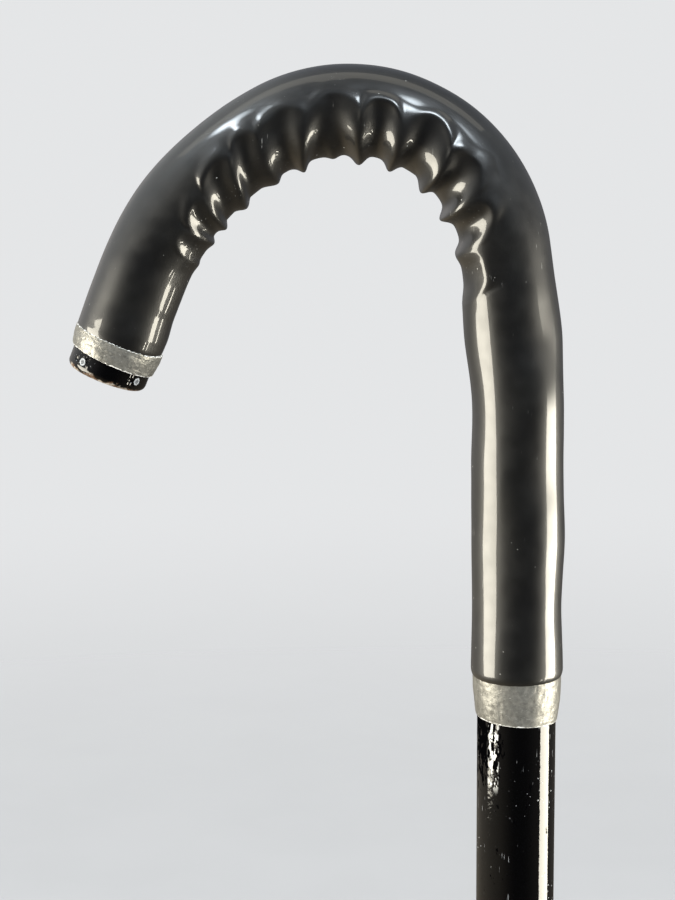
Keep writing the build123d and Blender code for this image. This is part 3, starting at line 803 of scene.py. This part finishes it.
def slot_materials():
    """One material for each of the record's material slots."""
    near_black, worn_black = (0.016, 0.016, 0.017), (0.025, 0.0245, 0.0245)
    return {
        "gloss_black_tube": handle_paint(),
        "painted_steel": plain_paint("powder_coat", (0.003, 0.003, 0.0034)),
        "vinyl_grip": vinyl(),
        "silver_tape": tape(),
        "black_plastic": plastic("black_plastic", near_black, worn_black, (0.36, 0.46)),
        "grey_nylon": plastic("grey_nylon", (0.36, 0.36, 0.34), (0.48, 0.47, 0.45), (0.3, 0.42)),
        "plated_steel": metal("plated_steel", (0.72, 0.71, 0.68), (0.50, 0.49, 0.47)),
        "spring_steel": metal("spring_steel", (0.34, 0.33, 0.33), (0.16, 0.16, 0.17)),
        "brass_pad": metal("brass", (0.72, 0.52, 0.24), (0.48, 0.34, 0.15)),
        "foot_rubber": rubber(),
    }


def paint_all():
    """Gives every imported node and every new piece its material."""
    slots = {row["node"]: row["material_slot"] for row in frame["record"]["subparts"]}
    by_slot = slot_materials()
    for node, thing in frame["nodes"].items():
        thing.data.materials.clear()
        thing.data.materials.append(by_slot[slots[node]])
    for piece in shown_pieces():
        if "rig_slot" in piece:
            piece.data.materials.clear()
            piece.data.materials.append(by_slot[piece["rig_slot"]])


paint_all()


# ---------------------------------------------------------------- studio


SIDE_LIGHTS = ("left_window", "right_window", "low_near", "low_far")
WARM, COOL, WHITE = (1.0, 0.945, 0.80), (0.84, 0.93, 1.0), (1, 1, 1)
BACKDROP = (0.78, 0.79, 0.80)
PANEL_MIDDLE = (0.5, 0.5, 0)  # in a light's own coordinates, which run from 0 to 1


def panel(name, place, target, size, power, color, fade=None):
    """Rectangular light facing a target, its power in watts. It may fade from its middle to
    its "edges", or only towards its "top"."""
    light = bpy.data.lights.new(name, "AREA")
    light.shape = "RECTANGLE"
    light.size, light.size_y = size
    light.energy = power
    light.color = color
    if fade:
        light.use_nodes = True
        nodes, links = light.node_tree.nodes, light.node_tree.links
        where = nodes.new("ShaderNodeNewGeometry")
        span = nodes.new("ShaderNodeMapRange")
        span.interpolation_type = "SMOOTHSTEP"
        if fade == "edges":
            away = nodes.new("ShaderNodeVectorMath")
            away.operation = "DISTANCE"
            away.inputs[1].default_value = PANEL_MIDDLE
            source, ends = away.outputs["Value"], (0.5, 0.05)
        else:
            away = nodes.new("ShaderNodeSeparateXYZ")
            source, ends = away.outputs["Y"], (1.0, 0.55)
        links.new(where.outputs["Parametric"], away.inputs[0])
        links.new(source, span.inputs["Value"])
        span.inputs["From Min"].default_value, span.inputs["From Max"].default_value = ends
        links.new(span.outputs["Result"], nodes["Emission"].inputs["Strength"])
    thing = bpy.data.objects.new(name, light)
    thing.location = place
    thing.rotation_euler = (Vector(target) - Vector(place)).to_track_quat("-Z", "Y").to_euler()
    bpy.context.scene.collection.objects.link(thing)
    return thing


def lights():
    """Warm side windows and two low ones, cool overhead panels, a long lamp and the ceiling."""
    grip = (-0.04, 0, BEND_Z)
    slit_target, slit_size = (-0.1, 0, 0.72), (0.035, 0.16)
    panel("left_window", (-1.25, -0.3, 0.575), (0, -0.3, 0.575), (0.82, 0.75), 27, WARM)
    panel("right_window", (1.25, -0.03, 0.385), (0, -0.03, 0.385), (0.8, 0.77), 35, WARM, fade="top")
    panel("low_near", (0.76, -0.385, 0.15), slit_target, slit_size, 0.55, WARM)
    panel("low_far", (0.84, -0.2, 0.15), slit_target, slit_size, 0.45, WARM)
    panel("overhead_right", (0.47, -0.70, 1.64), grip, (0.82, 0.70), 50, COOL, fade="edges")
    panel("overhead_left", (-0.80, -0.25, 1.78), grip, (0.56, 0.26), 15, COOL, fade="edges")
    panel("lamp", (-0.1, 0.2, 1.95), (-0.1, 0.1, 0.8), (2.6, 0.44), 3.6, WARM)
    ceiling = panel("ceiling", (-0.2, 0.1, 2.4), (-0.2, 0, 0.6), (2.6, 2.2), 13, WHITE)
    ceiling.visible_glossy = False  # the room's own brightness is what reflects from above


# The room that reflects: three ramps multiplied together, each from 0 at one end of an axis
# to 1 at the other
ROOM_UPWARDS = (
    (0.0, (0.38, 0.32, 0.23)),
    (0.30, (0.28, 0.25, 0.20)),
    (0.40, (0.24, 0.24, 0.235)),
    (0.53, (0.45, 0.45, 0.455)),
    (0.75, (0.50, 0.54, 0.58)),
    (1.0, (0.50, 0.55, 0.62)),
)
ROOM_BACKWARDS = (
    (0.0, (0.13, 0.13, 0.13)),
    (0.04, (0.18, 0.18, 0.18)),
    (0.2, (0.7, 0.7, 0.7)),
    (0.6, (1.2, 1.2, 1.2)),
    (1.0, (1.1, 1.1, 1.15)),
)
ROOM_RIGHTWARDS = (
    (0.0, (1.35, 1.32, 1.26)),
    (0.25, (1.1, 1.06, 0.98)),
    (0.46, (0.42, 0.42, 0.42)),
    (0.7, (0.32, 0.32, 0.32)),
    (1.0, (0.58, 0.58, 0.58)),
)


def world():
    """Pale studio for the camera; a dimmer room, warm below and dark in front, for reflections."""
    scene_world = bpy.data.worlds.new("studio")
    scene_world.use_nodes = True
    bpy.context.scene.world = scene_world
    tree = scene_world.node_tree
    nodes, links = tree.nodes, tree.links
    background = nodes["Background"]
    place = nodes.new("ShaderNodeTexCoord")
    split = nodes.new("ShaderNodeSeparateXYZ")
    links.new(place.outputs["Generated"], split.inputs[0])

    def ramp(source, stops):
        """Colours by one coordinate of the direction looked in."""
        spread = nodes.new("ShaderNodeMapRange")
        spread.inputs["From Min"].default_value = -1
        spread.inputs["From Max"].default_value = 1
        links.new(source, spread.inputs["Value"])
        colors = nodes.new("ShaderNodeValToRGB")
        elements = colors.color_ramp.elements
        for element, (at, color) in zip(elements, (stops[0], stops[-1])):
            element.position, element.color = at, (*color, 1)
        for at, color in stops[1:-1]:
            elements.new(at).color = (*color, 1)
        links.new(spread.outputs["Result"], colors.inputs["Fac"])
        return colors.outputs["Color"]

    def product(a, b):
        both = nodes.new("ShaderNodeVectorMath")
        both.operation = "MULTIPLY"
        links.new(a, both.inputs[0])
        links.new(b, both.inputs[1])
        return both.outputs["Vector"]

    upright = ramp(split.outputs["Z"], ROOM_UPWARDS)
    behind = ramp(split.outputs["Y"], ROOM_BACKWARDS)
    sideways = ramp(split.outputs["X"], ROOM_RIGHTWARDS)
    room = product(product(upright, behind), sideways)
    view = nodes.new("ShaderNodeLightPath")
    choose = nodes.new("ShaderNodeMix")
    choose.data_type = "RGBA"
    links.new(view.outputs["Is Glossy Ray"], choose.inputs["Factor"])
    choose.inputs[MIX_A].default_value = (*BACKDROP, 1)
    links.new(room, choose.inputs[MIX_B])
    links.new(choose.outputs[MIX_RESULT], background.inputs["Color"])
    background.inputs["Strength"].default_value = 1.0


def floor():
    """Plain pale floor under the feet, fading into the backdrop. The side lights stand so low
    and close that they would burn it out, so they leave it to the overhead ones."""
    half, fade_from, fade_to = 30.0, 0.8, 3.4
    pale, paler = (0.62, 0.625, 0.63), (0.64, 0.645, 0.65)
    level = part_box("foot_tip_front_inner")[0].z
    mesh = bpy.data.meshes.new("floor")
    corners = [(x, y, level) for x, y in ((-half, -half), (half, -half), (half, half), (-half, half))]
    mesh.from_pydata(corners, [], [(0, 1, 2, 3)])
    thing = bpy.data.objects.new("floor", mesh)
    bpy.context.scene.collection.objects.link(thing)
    m = Shader("pale_floor", Specular_IOR_Level=0.2)
    color = m.mix(m.span(m.noise(6, 4), 0.3, 0.7), pale, paler)
    material = m.finish(color, 0.7)
    reach = m.node("ShaderNodeVectorMath", operation="LENGTH")
    m.link(m.place, reach.inputs[0])
    clear = m.node("ShaderNodeBsdfTransparent")
    fade = m.node("ShaderNodeMixShader")
    m.link(m.span(reach.outputs["Value"], fade_from, fade_to), fade.inputs["Fac"])
    m.link(m.surface.outputs[0], fade.inputs[1])
    m.link(clear.outputs[0], fade.inputs[2])
    m.link(fade.outputs[0], m.tree.nodes["Material Output"].inputs["Surface"])
    mesh.materials.append(material)
    thing.visible_glossy = False
    thing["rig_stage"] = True
    spared = bpy.data.collections.new("spared_floor")
    spared.objects.link(thing)
    spared.collection_objects[0].light_linking.link_state = "EXCLUDE"
    for side in SIDE_LIGHTS:
        bpy.data.objects[side].light_linking.receiver_collection = spared


def camera():
    """Long-lens view of the crook from the front, a little above it."""
    target = Vector((-0.0501, 0, BEND_Z + 0.0105))
    pitch = math.radians(10.6)
    roll = math.radians(-0.39)
    distance = 0.600
    data = bpy.data.cameras.new("camera")
    data.sensor_fit = "VERTICAL"
    data.sensor_height = 36.0  # in mm, as is the lens
    data.lens = 86.8
    data.clip_start = 20 * MM
    thing = bpy.data.objects.new("camera", data)
    thing.location = target + Vector((0, -math.cos(pitch), math.sin(pitch))) * distance
    upright = Euler((math.pi / 2 - pitch, 0, 0)).to_matrix()
    thing.rotation_euler = (upright @ Matrix.Rotation(roll, 3, "Z")).to_euler()
    bpy.context.scene.collection.objects.link(thing)
    bpy.context.scene.camera = thing


lights()
world()
floor()
camera()
bpy.context.scene.view_settings.view_transform = "Standard"
